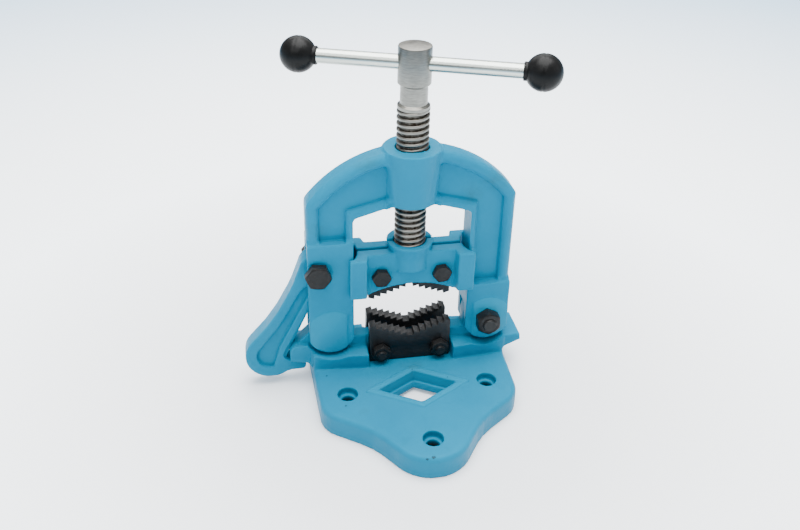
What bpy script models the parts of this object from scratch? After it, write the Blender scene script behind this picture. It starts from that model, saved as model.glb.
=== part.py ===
"""Pipe vise: a cast base with two lower V jaws, a hinged yoke with a hooked latch,
and a screw that drives a jaw carrier up and down between the yoke's legs.

Metres, +Z up. The origin is on the base's underside, under the screw's axis.
-Y is the side with the mounting holes, and the yoke swings open towards +X.
"""

from math import acos, asin, atan2, ceil, cos, degrees, hypot, pi, radians, sin, sqrt, tan

import bmesh
import bpy
from mathutils import Matrix, Vector

# Clearances
GAP = 0.0003  # between pieces that touch
RUN = 0.0004  # round a turning or sliding piece
OVERLAP = 0.0005  # how far joined blocks run into each other
FAR = 0.030  # how far a cutter runs past what it cuts

# Base
BASE_THICK = 0.020
BASE_HALF = 0.0815  # at its front corners
BASE_TAPER = 0.004  # how much wider the rear is, on each side
BASE_REAR = 0.032
BASE_ROUND = 0.004  # round top edge of the plate
CORNER_Y = -0.070
CORNER_R = 0.024
WAIST = (0.0441, -0.0959)
WAIST_R = 0.060
LOBE_Y = -0.0995  # centre of the front lobe
LOBE_R = 0.034
REAR_R = 0.008
SKIRT = 0.007  # wall round the hollow underside
POCKET_REAR = -0.016
POCKET_DEEP = 0.010
MOUNTING_HOLES = ((-0.0585, -0.0517), (0.0585, -0.0517), (0.0, -0.1116))
HOLE_BOSS_R = 0.013
HOLE_R = 0.0055
SINK_R = 0.0081
SINK_DEPTH = 0.0065
DIAMOND_Y = -0.0515
DIAMOND_HALF = (0.0430, 0.0250)
DIAMOND_R = (0.0015, 0.0025)  # of its side corners and of its other two
DIAMOND_RIM = 0.0050
DIAMOND_RISE = 0.0010
DIAMOND_LEDGE = 0.0018
DIAMOND_STEP = 0.0105  # height of the ledge inside the opening
DIAMOND_LIP = 0.004  # height of the foot of the wall round the opening
SHOULDER_TALL = 0.014
SHOULDER_IN = 0.0365
SHOULDER_OUT = 0.084
SHOULDER_Y = (0.0225, 0.0175)  # half thickness at the inner and the outer end
TENON_HALF = 0.0065
WEB_HALF = 0.0052
WEB_TALL = (0.0185, 0.0260)  # above the plate, in the middle and beside the tenons
EAR_LONG = 0.0145
EAR_HALF = 0.0165
EAR_TALL = (0.0062, 0.0127)  # thickness of the ear at its tip and beside the shoulder
EAR_EDGE = 0.001
EAR_ROOT = 0.004  # how deep the ear and the lug run into the shoulders
LUG_LONG = 0.018
LUG_TALL = 0.01485  # thickness of the lug's outer end
LUG_RISE = 0.007  # above the shoulder
LUG_HALF = 0.012
LUG_SLOPE = 0.003
LUG_EDGE = 0.004  # chamfer on the lug's outer end

SHOULDER_TOP = BASE_THICK + SHOULDER_TALL
WEB_TOP = (BASE_THICK + WEB_TALL[0], BASE_THICK + WEB_TALL[1])
TENON_IN = SHOULDER_IN + OVERLAP
EAR_TIP = SHOULDER_OUT + EAR_LONG
LUG_END = SHOULDER_OUT + LUG_LONG
LUG_TOP = SHOULDER_TOP + LUG_RISE

# Yoke
LEG_X = 0.0665  # centre line of a leg, and the hinge pin's place
LEG_HALF = 0.0185
LEG_END_GROW = 0.002  # how much the feet's round ends pass the legs' half width
PAD_GROW = 0.001
SCOOP_CLEAR = 0.004
HINGE_SLOT_CLEAR = 0.0033  # round the knuckle
YOKE_HALF = 0.014
BOSS_RISE = 0.001  # the round pads at the legs' feet
RIM_HALF = 0.011
PANEL_HALF = 0.0055
ARCH_RISE = 0.0563  # centre of the arch above the hinge pin
ARCH_OVER = 0.020  # how much the arch's radius passes the legs' outer sides
RIM_WIDE = 0.0100
RAIL_WIDE = 0.0055
WINDOW_SIDE = 0.0487  # top of the window's sides above the arch's centre
WINDOW_SLOPE = 0.009
WINDOW_FLAT = 0.018
WINDOW_R = 0.004
PANEL_R = 0.003
FRAME_TALL = 0.0065
LATCH_RISE = 0.0581  # latch pin above the hinge pin
LATCH_OUT = 0.0104  # latch pin outside the leg's centre line
LEFT_BLOCK = 0.0264  # top of the left leg's block above the latch pin
RIGHT_BLOCK = 0.0355  # top of the right leg's block above the hinge pin
ARCH_CORNER = 0.012
LATCH_SLOT_TALL = 0.0214  # above the latch pin
LATCH_SLOT_IN = 0.010  # inside the leg's centre line
SLOT_R = 0.006
YOKE_BOSS_R = (0.0200, 0.0232)  # at its foot and its top
YOKE_BOSS_DROP = 0.0008  # below the top of the arch

LEG_OUT = LEG_X + LEG_HALF
LEG_IN = LEG_X - LEG_HALF
LEG_END_R = LEG_HALF + LEG_END_GROW
LEG_BOSS_R = LEG_END_R + PAD_GROW
SCOOP_R = LEG_END_R + SCOOP_CLEAR
HINGE_SLOT_R = LEG_HALF + HINGE_SLOT_CLEAR
ARCH_R = LEG_OUT + ARCH_OVER
PIVOT_Z = SHOULDER_TOP + LEG_END_R + OVERLAP
TENON_TOP = PIVOT_Z
EAR_SEAT = PIVOT_Z - LEG_HALF - GAP  # the open yoke rests on this flat
ARCH_Z = PIVOT_Z + ARCH_RISE
WINDOW_SIDE_Z = ARCH_Z + WINDOW_SIDE
WINDOW_TOP_Z = WINDOW_SIDE_Z + WINDOW_SLOPE
YOKE_BOSS_TOP = ARCH_Z + ARCH_R - YOKE_BOSS_DROP
LATCH_X = -LEG_X - LATCH_OUT
LATCH_Z = PIVOT_Z + LATCH_RISE
LUG_R = hypot(LUG_END + LATCH_X, LATCH_Z - LUG_TOP + LUG_TALL)  # its underside, about the latch pin
LEFT_BLOCK_Z = LATCH_Z + LEFT_BLOCK
RIGHT_BLOCK_Z = PIVOT_Z + RIGHT_BLOCK

# Screw and bar
THREAD_R = 0.013
THREAD_RISE = 0.0356  # of the thread's top above the yoke's boss
NECK_TALL = 0.0154
SCREW_NECK_R = 0.0106
HEAD_R = 0.01277
HEAD_TALL = 0.0299
END_NECK_R = 0.0085
COLLAR_R = 0.0118
COLLAR_TALL = 0.0075
SCREW_CHAMFER = 0.0012
BAR_RISE = 0.00115  # above the middle of the head
BAR_R = 0.0057
BAR_TURN = radians(-19.8)
BALL_R = 0.0140
LEFT_BALL = 0.0883
RIGHT_BALL = 0.0940
STEM_R = 0.0078
STEM_LONG = 0.0170  # ball centre to the end of its collar
SOCKET_DEEP = 0.005  # how far the bar passes the ball's centre

THREAD_TOP = YOKE_BOSS_TOP + THREAD_RISE
HEAD_LOW = THREAD_TOP + NECK_TALL
HEAD_TOP = HEAD_LOW + HEAD_TALL
BAR_Z = HEAD_LOW + HEAD_TALL / 2 + BAR_RISE

# Jaw carrier
CARRIER_RISE = 0.0705  # of its top above the hinge pin
CARRIER_TALL = 0.030  # in the middle of its arch
CARRIER_ARCH = 0.0085
CARRIER_FACE = 0.0115  # half thickness between the guides
CARRIER_PLAY = (0.0043, 0.0005)  # between its ends and the legs, at the split and outside it
SPLIT = 0.0015  # half of the gap between the two halves
GUIDE_WIDE = 0.0145
GUIDE_LAP = 0.0035  # how far the guides reach over the legs
GUIDE_FRONT = 0.0195
GUIDE_TALL = 0.0365
GUIDE_CLEAR = 0.0025  # beside the pads on the yoke's feet
SOCKET_R = 0.017
SOCKET_RISE = 0.007
SOCKET_FLARE = 0.0195
SOCKET_FLARE_TALL = 0.010
SOCKET_DROP = 0.0165
SHELF_RISE = 0.002  # the shelf under the thread's end, above the carrier's top
COLLAR_DROP = 0.012

CARRIER_END = (LEG_IN - CARRIER_PLAY[0], LEG_IN - CARRIER_PLAY[1])
GUIDE_X = (LEG_IN + GUIDE_LAP - GUIDE_WIDE, LEG_IN + GUIDE_LAP)
CARRIER_TOP = PIVOT_Z + CARRIER_RISE
ARCH_LOW = CARRIER_TOP - CARRIER_TALL
ARCH_FOOT = ARCH_LOW - CARRIER_ARCH
GUIDE_LOW = CARRIER_TOP - GUIDE_TALL
PAD_EDGE = GUIDE_X[1] + GUIDE_CLEAR
SOCKET_TOP = CARRIER_TOP + SOCKET_RISE
SOCKET_LOW = CARRIER_TOP - SOCKET_DROP
SHELF_Z = CARRIER_TOP + SHELF_RISE
COLLAR_Z = CARRIER_TOP - COLLAR_DROP

# Jaws
JAW_THICK = 0.009
TOOTH_PITCH = 0.0053
TOOTH_COUNT = 6
TOOTH_STEP = 0.0035
TOOTH_FALL = 0.0016
TOOTH_LEAN = 0.0003  # slope of a tooth's steep side
NOTCH_HALF = 0.0028
UPPER_JAW_DROP = 0.014  # from the carrier's top
UPPER_JAW_TALL = 0.0205  # in its notch
LOWER_JAW_TALL = 0.0245
JAW_BOLT_X = 0.0252
UPPER_BOLT_DROP = 0.0065  # from the upper jaw's back
LOWER_BOLT_RISE = 0.011  # from the lower jaws' back

UPPER_JAW_TOP = CARRIER_TOP - UPPER_JAW_DROP
UPPER_NOTCH_Z = UPPER_JAW_TOP - UPPER_JAW_TALL
UPPER_BOLT_Z = UPPER_JAW_TOP - UPPER_BOLT_DROP
LOWER_NOTCH_Z = BASE_THICK + LOWER_JAW_TALL
LOWER_BOLT_Z = BASE_THICK + LOWER_BOLT_RISE
JAW_REACH = NOTCH_HALF + TOOTH_COUNT * TOOTH_PITCH

# Latch, with its outline's points as (right of the pin, above the pin, fillet radius)
LATCH_HALF = 0.0075
LATCH_WEB = 0.0040
LATCH_HEAD_R = 0.0150
LATCH_BACK = ((-0.0215, -0.0159, 0.05), (-0.0376, -0.0461, 0.08))
BULB = (-0.0406, -0.0826)
BULB_R = 0.0217
BULB_RIM = 0.0095
TOE_PLAY = 0.002
TOE_END = (-0.0261, -0.0118)  # its foot and its tip, right of the pin
TOE_BACK = -0.0231
TOE_DROP = 0.0991  # below the pin
TOE_R = 0.003
LATCH_POCKET = ((-0.0326, -0.0896, 0.005), (-0.0276, -0.0768, 0.02), (-0.0101, -0.0425, 0.05))
PANEL_BACK = ((-0.0081, -0.0131, 0.002), (-0.0146, -0.0201, 0.02), (-0.0311, -0.0506, 0.06))
PANEL_FRONT = ((-0.0386, -0.0931, 0.002), (-0.0334, -0.0738, 0.01), (-0.0066, -0.0216, 0.003))

# Bolts: shank radius, across flats, head height, nut height, end past the nut
M12 = (0.0060, 0.0180, 0.0075, 0.0100, 0.0028)
M8 = (0.0040, 0.0130, 0.0053, 0.0065, 0.0022)
SPOT_R = 0.0118
SPOT_DEEP = 0.0006

FINE = 48
COARSE = 24

PAINT = ("casting_paint", (0.070, 0.450, 0.660), 0.45, 0.0)
BLACKED = ("blackened_steel", (0.030, 0.032, 0.036), 0.5, 0.6)
JAW_STEEL = ("jaw_steel", (0.018, 0.020, 0.024), 0.45, 0.5)
TURNED_STEEL = ("turned_steel", (0.46, 0.45, 0.43), 0.32, 1.0)
ZINC = ("zinc_bar", (0.78, 0.79, 0.80), 0.22, 1.0)
BLACK_PLASTIC = ("black_plastic", (0.012, 0.012, 0.014), 0.35, 0.0)


# Scene set-up

def clear_scene():
    for thing in list(bpy.data.objects):
        bpy.data.objects.remove(thing, do_unlink=True)


def make_collection(name):
    group = bpy.data.collections.new(name)
    bpy.context.scene.collection.children.link(group)
    return group


def material(name, colour, roughness, metallic):
    found = bpy.data.materials.get(name)
    if found:
        return found
    made = bpy.data.materials.new(name)
    made.use_nodes = True
    shader = made.node_tree.nodes["Principled BSDF"]
    shader.inputs["Base Color"].default_value = (*colour, 1.0)
    shader.inputs["Roughness"].default_value = roughness
    shader.inputs["Metallic"].default_value = metallic
    return made


# Outlines, as lists of two-number points

def arc(centre, radius, start, end, steps=12):
    """Points of an arc, its angles in degrees."""
    turn = [radians(start + (end - start) * i / steps) for i in range(steps + 1)]
    return [(centre[0] + radius * cos(a), centre[1] + radius * sin(a)) for a in turn]


def rounded(corners, step=15):
    """A closed outline from (a, b) corners, or (a, b, fillet radius) ones."""
    out = []
    for i, corner in enumerate(corners):
        here = Vector(corner[:2])
        if len(corner) < 3:
            out.append(tuple(here))
            continue
        back = (Vector(corners[i - 1][:2]) - here).normalized()
        ahead = (Vector(corners[(i + 1) % len(corners)][:2]) - here).normalized()
        half = acos(max(-1.0, min(1.0, back.dot(ahead)))) / 2
        centre = here + (back + ahead).normalized() * corner[2] / sin(half)
        first = here + back * corner[2] / tan(half) - centre
        sweep = pi - 2 * half
        if back.x * ahead.y - back.y * ahead.x > 0:
            sweep = -sweep
        steps = max(1, ceil(abs(degrees(sweep)) / step))
        for k in range(steps + 1):
            out.append(tuple(centre + Matrix.Rotation(sweep * k / steps, 2) @ first))
    return out


def mirrored(points):
    """The other half of an outline, in order, across the second axis."""
    return [(-p[0], *p[1:]) for p in reversed(points)]


# Solids

def place_mesh(name, built):
    mesh = bpy.data.meshes.new(name)
    built.normal_update()
    built.to_mesh(mesh)
    built.free()
    thing = bpy.data.objects.new(name, mesh)
    PARTS.objects.link(thing)
    return thing


def plate(name, outline, low, high, facing="Y", bevel=0.0):
    """A flat outline given thickness: (x, z) points facing Y, or (x, y) points facing Z."""
    curve = bpy.data.curves.new(name, "CURVE")
    curve.dimensions = "2D"
    curve.fill_mode = "BOTH"
    curve.extrude = (high - low) / 2
    spline = curve.splines.new("POLY")
    spline.points.add(len(outline) - 1)
    for point, (a, b) in zip(spline.points, outline):
        point.co = (a, b, 0.0, 1.0)
    spline.use_cyclic_u = True
    guide = bpy.data.objects.new(name, curve)
    bpy.context.scene.collection.objects.link(guide)
    bpy.context.view_layer.update()
    ready = guide.evaluated_get(bpy.context.evaluated_depsgraph_get())
    flat = bpy.data.meshes.new_from_object(ready)
    bpy.data.objects.remove(guide, do_unlink=True)
    built = bmesh.new()
    built.from_mesh(flat)
    bpy.data.meshes.remove(flat)
    bmesh.ops.remove_doubles(built, verts=built.verts, dist=0.00001)
    bmesh.ops.dissolve_limit(built, angle_limit=0.002, verts=built.verts, edges=built.edges)
    middle = (low + high) / 2
    if facing == "Y":
        move = Matrix.Translation((0, middle, 0)) @ Matrix.Rotation(pi / 2, 4, "X")
    else:
        move = Matrix.Translation((0, 0, middle))
    bmesh.ops.transform(built, matrix=move, verts=built.verts)
    bmesh.ops.recalc_face_normals(built, faces=built.faces)
    if bevel:
        top = [e for e in built.edges if all(abs(v.co.z - high) < 0.00001 for v in e.verts)]
        bmesh.ops.bevel(built, geom=top, offset=bevel, segments=3, profile=0.5, affect="EDGES")
    return place_mesh(name, built)


def pin(name, radius, along, at, low, high, sides=COARSE, top_radius=None):
    """A cylinder or cone along an axis, at the two other coordinates."""
    built = bmesh.new()
    bmesh.ops.create_cone(
        built, cap_ends=True, segments=sides, radius1=radius,
        radius2=radius if top_radius is None else top_radius, depth=high - low,
    )
    middle = (low + high) / 2
    if along == "Y":
        move = Matrix.Translation((at[0], middle, at[1])) @ Matrix.Rotation(-pi / 2, 4, "X")
    else:
        move = Matrix.Translation((at[0], at[1], middle))
    bmesh.ops.transform(built, matrix=move, verts=built.verts)
    return place_mesh(name, built)


def box(name, low, high):
    built = bmesh.new()
    bmesh.ops.create_cube(built, size=1.0)
    low, high = Vector(low), Vector(high)
    size = Matrix.Diagonal((*(high - low), 1.0))
    move = Matrix.Translation((low + high) / 2) @ size
    bmesh.ops.transform(built, matrix=move, verts=built.verts)
    return place_mesh(name, built)


def turned(name, profile, closed, sides=COARSE):
    """A profile of (radius, height) points, down its outer side, turned about Z."""
    built = bmesh.new()
    points = [built.verts.new((r, 0.0, z)) for r, z in profile]
    for a, b in zip(points, points[1:] + points[:1] if closed else points[1:]):
        built.edges.new((a, b))
    thing = place_mesh(name, built)
    spin = thing.modifiers.new("turn", "SCREW")
    spin.axis = "Z"
    spin.angle = 2 * pi
    spin.steps = spin.render_steps = sides
    spin.use_merge_vertices = True
    spin.merge_threshold = 0.00001
    spin.use_smooth_shade = False
    return thing


def frozen(thing):
    """The same object with its modifiers made part of its mesh."""
    bpy.context.view_layer.update()
    ready = thing.evaluated_get(bpy.context.evaluated_depsgraph_get())
    mesh = bpy.data.meshes.new_from_object(ready)
    thing.modifiers.clear()
    old, thing.data = thing.data, mesh
    bpy.data.meshes.remove(old)
    return thing


def boolean(target, other, operation):
    step = target.modifiers.new(other.name, "BOOLEAN")
    step.operation = operation
    step.solver = "EXACT"
    step.object = other
    other.hide_render = True
    other.display_type = "WIRE"
    PARTS.objects.unlink(other)
    CUTTERS.objects.link(other)


def cut(target, *cutters):
    for cutter in cutters:
        boolean(target, cutter, "DIFFERENCE")


def join(target, *others):
    for other in others:
        boolean(target, other, "UNION")


def finish(thing, look, pivot=None):
    """Gives a piece its material and shading, and hangs it on its joint's empty."""
    thing.data.materials.clear()
    thing.data.materials.append(material(*look))
    thing.data.shade_smooth()
    thing.data.set_sharp_from_angle(angle=radians(35))
    if pivot:
        thing.parent = pivot
        thing.matrix_parent_inverse = pivot.matrix_world.inverted()
    return thing


def pivot_at(name, place, parent=None):
    empty = bpy.data.objects.new(name, None)
    empty.empty_display_size = 0.02
    empty.location = Vector(place) - (parent.matrix_world.translation if parent else Vector())
    empty.parent = parent
    PARTS.objects.link(empty)
    bpy.context.view_layer.update()
    return empty


# Base

def base_outline(inset=0.0, rear=BASE_REAR):
    """The plate's outline, or one that runs inside it."""
    edge = BASE_HALF - inset
    slip = inset * sqrt(0.5)
    corner = (edge, CORNER_Y + slip, CORNER_R - inset)
    waist = (WAIST[0] - slip, WAIST[1] + slip)
    radius = LOBE_R - inset
    share = (rear - CORNER_Y) / (BASE_REAR - CORNER_Y)
    side = [(edge + share * BASE_TAPER, rear, REAR_R), corner, (*waist, WAIST_R + inset)]
    slope = atan2(waist[1] - LOBE_Y, waist[0])
    touch = degrees(slope - acos(radius / hypot(waist[0], waist[1] - LOBE_Y)))
    lobe = arc((0, LOBE_Y), radius, touch, -180 - touch, 18)
    return rounded(side + lobe + mirrored(side), step=12)


def underside_pocket():
    """The hollow under the plate, with a wall left round the diamond and each mounting hole."""
    pocket = plate("underside_pocket", base_outline(SKIRT, POCKET_REAR), -GAP, POCKET_DEEP, "Z")
    for x, y in MOUNTING_HOLES:
        cut(pocket, pin("hole_boss", HOLE_BOSS_R, "Z", (x, y), -2 * GAP, BASE_THICK))
    cut(pocket, diamond(0, DIAMOND_LIP, BASE_THICK, "diamond_wall"))
    return pocket


def diamond(grow, low, high, name):
    wide, deep = DIAMOND_HALF
    share = grow * hypot(1 / wide, 1 / deep)
    wide, deep = wide * (1 + share), deep * (1 + share)
    corners = [(wide, DIAMOND_Y, DIAMOND_R[0]), (0, DIAMOND_Y + deep, DIAMOND_R[1]),
               (-wide, DIAMOND_Y, DIAMOND_R[0]), (0, DIAMOND_Y - deep, DIAMOND_R[1])]
    return plate(name, rounded(corners, step=30), low, high, "Z")


def shoulder(name, side):
    inner, outer = SHOULDER_Y
    end = SHOULDER_OUT - 2 * OVERLAP
    outline = [(SHOULDER_IN, -inner), (end, -outer), (end, outer), (SHOULDER_IN, inner)]
    outline = [(side * x, y) for x, y in outline]
    return plate(name, outline, BASE_THICK / 2, SHOULDER_TOP, "Z")


def hinge_tenon():
    """The tongue with a round knuckle between the right leg's cheeks."""
    knuckle = arc((LEG_X, PIVOT_Z), LEG_HALF, 178, -56, 20)
    outline = [(TENON_IN, SHOULDER_TOP / 2), (TENON_IN, TENON_TOP)] + knuckle
    outline.append((knuckle[-1][0], SHOULDER_TOP / 2))
    return plate("hinge_tenon", outline, -TENON_HALF, TENON_HALF)


def latch_tenon():
    """The tongue between the left leg's cheeks, which slopes down to the latch's lug."""
    outline = [(-TENON_IN, SHOULDER_TOP / 2), (-TENON_IN, TENON_TOP),
               (-SHOULDER_OUT, TENON_TOP - LUG_SLOPE), (-LUG_END + 1.5 * LUG_EDGE, LUG_TOP - OVERLAP),
               (-SHOULDER_OUT + LUG_SLOPE, LUG_TOP - LUG_TALL)]
    return plate("latch_tenon", outline, -TENON_HALF, TENON_HALF)


def latch_lug():
    """The hook's catch: its underside is an arc about the latch's pin."""
    start = 180 + degrees(acos((LATCH_X + LUG_END) / LUG_R))
    end = 180 + degrees(acos((LATCH_X + SHOULDER_OUT + LUG_SLOPE) / LUG_R))
    under = arc((LATCH_X, LATCH_Z), LUG_R, start, end, 4)
    root = -SHOULDER_OUT + EAR_ROOT
    outline = [(root, BASE_THICK / 2), (root, LUG_TOP), (-LUG_END + LUG_EDGE, LUG_TOP),
               (-LUG_END, LUG_TOP - LUG_EDGE)]
    return plate("latch_lug", outline + under, -LUG_HALF, LUG_HALF)


def stop_ear():
    root = SHOULDER_OUT - EAR_ROOT
    outline = [(root, BASE_THICK - OVERLAP), (root, EAR_SEAT), (EAR_TIP - EAR_EDGE, EAR_SEAT),
               (EAR_TIP, EAR_SEAT - EAR_TALL[0]), (SHOULDER_OUT, EAR_SEAT - EAR_TALL[1])]
    return plate("stop_ear", outline, -EAR_HALF, EAR_HALF)


def jaw_web():
    low, high = WEB_TOP
    end = SHOULDER_IN + 2 * OVERLAP
    outline = [(-end, BASE_THICK / 2), (end, BASE_THICK / 2), (end, high), (0, low), (-end, high)]
    return plate("jaw_web", outline, -WEB_HALF, WEB_HALF)


def leg_scoops():
    """Round clearances in the shoulders, beside the tenons, in which the feet turn."""
    out = []
    for side in (-1, 1):
        for face in (-1, 1):
            ends = sorted((face * (TENON_HALF - OVERLAP), face * FAR))
            out.append(pin("scoop", SCOOP_R, "Y", (side * LEG_X, PIVOT_Z), *ends, sides=FINE))
    return out


def mounting_hole(x, y):
    through = pin("through", HOLE_R, "Z", (x, y), -FAR, BASE_THICK + FAR)
    sink = pin("sink", SINK_R, "Z", (x, y), BASE_THICK - SINK_DEPTH, BASE_THICK + FAR)
    return through, sink


def make_base():
    base = plate("base", base_outline(), 0.0, BASE_THICK, "Z", bevel=BASE_ROUND)
    join(base, shoulder("left_shoulder", -1), shoulder("right_shoulder", 1))
    join(base, stop_ear(), latch_lug())
    cut(base, *leg_scoops())
    join(base, hinge_tenon(), latch_tenon(), jaw_web())
    join(base, diamond(0, BASE_THICK / 2, BASE_THICK + DIAMOND_RISE, "diamond_rim"))
    cut(base, diamond(-DIAMOND_RIM, DIAMOND_STEP, BASE_THICK + FAR, "diamond_opening"))
    cut(base, diamond(-DIAMOND_RIM - DIAMOND_LEDGE, -FAR, BASE_THICK, "diamond_floor"))
    cut(base, underside_pocket())
    for x, y in MOUNTING_HOLES:
        cut(base, *mounting_hole(x, y))
    cut(base, pin("hinge_bore", M12[0] + RUN, "Y", (LEG_X, PIVOT_Z), -FAR, FAR, FINE))
    for x in (-JAW_BOLT_X, JAW_BOLT_X):
        cut(base, pin("jaw_bore", M8[0] + GAP, "Y", (x, LOWER_BOLT_Z), -2 * WEB_HALF, 2 * WEB_HALF))
    return finish(base, PAINT)


# Yoke

def foot(side):
    """The round end of a leg, from its outer to its inner side on the left leg."""
    lean = degrees(acos(LEG_HALF / LEG_END_R))
    return arc((side * LEG_X, PIVOT_Z), LEG_END_R, 180 + lean, 360 - lean, 12)


def yoke_outline():
    corner_z = ARCH_Z + sqrt(ARCH_R**2 - LEG_OUT**2)
    lift = degrees(acos(LEG_OUT / ARCH_R)) + 8
    arch = arc((0, ARCH_Z), ARCH_R, lift, 180 - lift, 26)
    window = [(-LEG_IN, WINDOW_SIDE_Z, WINDOW_R), (-WINDOW_FLAT, WINDOW_TOP_Z),
              (WINDOW_FLAT, WINDOW_TOP_Z), (LEG_IN, WINDOW_SIDE_Z, WINDOW_R)]
    corner = (LEG_OUT, corner_z, ARCH_CORNER)
    return rounded(foot(-1) + window + foot(1) + [corner] + arch + mirrored([corner]))


def panel(side, low):
    """Outline of the thin web between the outer rim and the inner frame."""
    outer = LEG_OUT - RIM_WIDE
    inner = LEG_IN + RAIL_WIDE
    radius = ARCH_R - RIM_WIDE
    near = YOKE_BOSS_R[0] + 2 * OVERLAP
    start = degrees(acos(outer / radius))
    end = degrees(acos(near / radius))
    arch = arc((0, ARCH_Z), radius, start, end, 10)
    frame = [(near, WINDOW_TOP_Z + FRAME_TALL - 2 * OVERLAP), (inner, WINDOW_SIDE_Z + FRAME_TALL, PANEL_R)]
    outline = rounded([(outer, low)] + arch + frame + [(inner, low)])
    return outline if side > 0 else mirrored(outline)


def rim(side, low):
    """Outline that holds the outer rim, well past its outer edge."""
    far = LEG_OUT + FAR
    inner = LEG_OUT - RIM_WIDE - 6 * OVERLAP
    radius = ARCH_R - RIM_WIDE - 6 * OVERLAP
    near = YOKE_BOSS_R[0] - 6 * OVERLAP
    start = degrees(acos(inner / radius))
    end = degrees(acos(near / radius))
    outline = [(inner, low)] + arc((0, ARCH_Z), radius, start, end, 10)
    outline += [(near, YOKE_BOSS_TOP + FAR), (far, YOKE_BOSS_TOP + FAR), (far, low)]
    return outline if side > 0 else mirrored(outline)


def around_pads():
    """All of the yoke but the raised pads of its feet, which are cut off beside the guides."""
    far, top = LEG_OUT + FAR, YOKE_BOSS_TOP + FAR
    lean = degrees(acos((PAD_EDGE - LEG_X) / LEG_BOSS_R))
    right = arc((LEG_X, PIVOT_Z), LEG_BOSS_R, 0, lean, 10)
    half = [(far, PIVOT_Z)] + right + [(PAD_EDGE, PIVOT_Z - FAR)]
    return half + mirrored(half) + [(-far, top), (far, top)]


def both_faces(name, outline, depth):
    return [plate(name, outline, depth, FAR), plate(name, outline, -FAR, -depth)]


def leg_slots():
    low = PIVOT_Z - FAR
    outline = [(LEG_X + HINGE_SLOT_R, low)] + arc((LEG_X, PIVOT_Z), HINGE_SLOT_R, 0, 180, 20)
    outline.append((LEG_X - HINGE_SLOT_R, low))
    right = plate("hinge_slot", outline, -TENON_HALF - GAP, TENON_HALF + GAP)
    left, inner, back = -LEG_X - FAR, -LEG_X + FAR, -LEG_X + LATCH_SLOT_IN
    foot_top, top = TENON_TOP + GAP, LATCH_Z + LATCH_SLOT_TALL
    slot = [(left, low), (inner, low), (inner, foot_top), (back, foot_top), (back, top, SLOT_R), (left, top)]
    half = LATCH_HALF + GAP
    return right, plate("latch_slot", rounded(slot), -half, half)


def spot_faces(name, at, depth):
    return [pin(name, SPOT_R, "Y", at, depth, FAR, FINE), pin(name, SPOT_R, "Y", at, -FAR, -depth, FINE)]


def make_yoke(pivot):
    full = YOKE_HALF + BOSS_RISE
    yoke = plate("yoke", yoke_outline(), -full, full)
    cut(yoke, *both_faces("face_level", around_pads(), YOKE_HALF))
    for side, low in ((-1, LEFT_BLOCK_Z), (1, RIGHT_BLOCK_Z)):
        cut(yoke, *both_faces("rim_level", rim(side, low), RIM_HALF))
        cut(yoke, *both_faces("panel_level", panel(side, low), PANEL_HALF))
    foot_r, top_r = YOKE_BOSS_R
    join(yoke, pin("screw_boss", foot_r, "Z", (0, 0), WINDOW_TOP_Z, YOKE_BOSS_TOP, FINE, top_r))
    cut(yoke, pin("screw_bore", THREAD_R + GAP, "Z", (0, 0), WINDOW_TOP_Z - FAR, YOKE_BOSS_TOP + FAR, FINE))
    cut(yoke, *leg_slots())
    cut(yoke, pin("hinge_bore", M12[0] + RUN, "Y", (LEG_X, PIVOT_Z), -FAR, FAR, FINE))
    cut(yoke, pin("latch_bore", M12[0] + RUN, "Y", (LATCH_X, LATCH_Z), -FAR, FAR, FINE))
    cut(yoke, *spot_faces("hinge_spot", (LEG_X, PIVOT_Z), full - SPOT_DEEP))
    cut(yoke, *spot_faces("latch_spot", (LATCH_X, LATCH_Z), YOKE_HALF - SPOT_DEEP))
    return finish(yoke, PAINT, pivot)


# Latch

def from_latch_pin(points):
    return [(LATCH_X + x, LATCH_Z + z, *rest) for x, z, *rest in points]


def latch_outline():
    toe_r = LUG_R + TOE_PLAY
    bulb = arc(from_latch_pin([BULB])[0], BULB_R, 141, 307, 16)
    first = 180 + degrees(acos(-TOE_END[1] / toe_r))
    last = 180 + degrees(acos(-TOE_END[0] / toe_r))
    toe = arc((LATCH_X, LATCH_Z), toe_r, first, last, 4)
    head = arc((LATCH_X, LATCH_Z), LATCH_HEAD_R, -40, 170, 16)
    tip = from_latch_pin([(TOE_BACK, -TOE_DROP), (TOE_END[1], -TOE_DROP, TOE_R)])
    return rounded(head + from_latch_pin(LATCH_BACK) + bulb + tip + toe + from_latch_pin(LATCH_POCKET))


def latch_panel():
    """The sunk web of the hook's I-section."""
    bulb = arc(from_latch_pin([BULB])[0], BULB_R - BULB_RIM, 141, 268, 10)
    return rounded(from_latch_pin(PANEL_BACK) + bulb + from_latch_pin(PANEL_FRONT))


def make_latch(pivot):
    latch = plate("latch", latch_outline(), -LATCH_HALF, LATCH_HALF)
    cut(latch, *both_faces("latch_panel", latch_panel(), LATCH_WEB))
    cut(latch, pin("latch_bore", M12[0] + RUN, "Y", (LATCH_X, LATCH_Z), -FAR, FAR, FINE))
    return finish(latch, PAINT, pivot)


# Bolts

def bolt(name, size, at, seat, out, length, pivot=None):
    """A hex bolt along Y. Its head sits outside y = seat, towards out = -1 or +1."""
    shank, flats, tall = size[:3]
    tip = seat - out * length
    body = pin(name, shank, "Y", at, *sorted((seat + out * tall / 2, tip)))
    head = pin(name + "_head", flats / sqrt(3), "Y", at, *sorted((seat + out * GAP, seat + out * tall)), 6)
    join(body, head)
    return finish(body, BLACKED, pivot)


def nut(name, size, at, seat, out, pivot=None):
    shank, flats, _, tall = size[:4]
    body = pin(name, flats / sqrt(3), "Y", at, *sorted((seat + out * GAP, seat + out * tall)), 6)
    cut(body, pin(name + "_bore", shank + GAP, "Y", at, seat - FAR, seat + FAR))
    return finish(body, BLACKED, pivot)


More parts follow.
